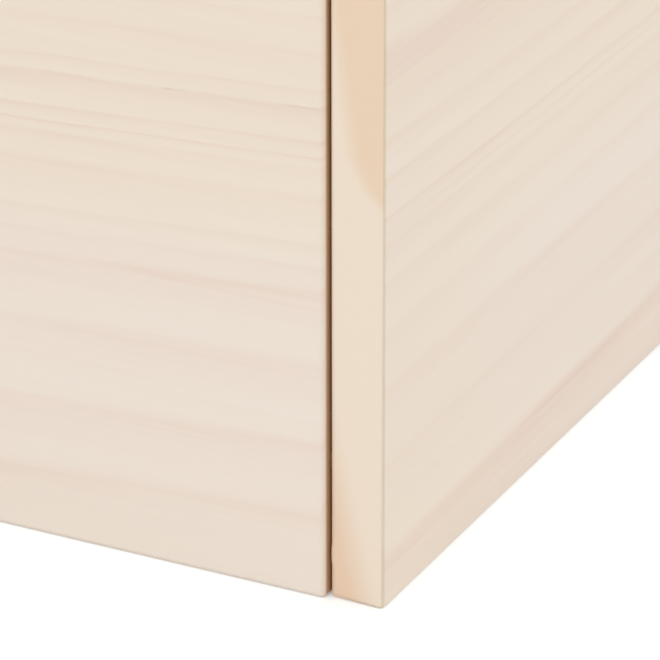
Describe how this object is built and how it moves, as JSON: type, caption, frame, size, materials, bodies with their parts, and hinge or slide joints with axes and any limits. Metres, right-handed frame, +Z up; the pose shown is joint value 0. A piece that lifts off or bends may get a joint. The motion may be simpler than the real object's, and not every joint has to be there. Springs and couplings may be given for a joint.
{
  "type": "sliding lid wooden box",
  "caption": "Plain low box of pale wooden boards with rounded edges, whose flat lid slides out over the front on tongues and has a half-moon thumb notch; holds papers and keepsakes.",
  "frame": {"origin": "centre of the box's footprint, on the surface that it stands on", "axes": "+Z up; the front, which the lid slides out over, faces -Y; +X is to the right of someone facing the front"},
  "size_m": [0.25, 0.33, 0.145],
  "materials": {
    "board_wood": "bleached paulownia, sanded, no varnish",
    "lid_wood": "bleached paulownia, sanded, no varnish",
    "base_plywood": "thin plywood, sanded face veneer",
    "dowel_wood": "fluted beech, unfinished"
  },
  "bodies": {
    "box": {"side_board_left": "board_wood", "side_board_right": "board_wood", "front_board": "board_wood", "back_board": "board_wood", "base_panel": "base_plywood", "dowels_front_left": "dowel_wood", "dowels_front_right": "dowel_wood", "dowels_back_left": "dowel_wood", "dowels_back_right": "dowel_wood"},
    "lid": {"sliding_lid": "lid_wood"}
  },
  "joints": [
    {"name": "lid_slide", "type": "slide", "parent": "box", "child": "lid", "axis": [0, -1, 0], "range_m": [0, 0.326]}
  ]
}
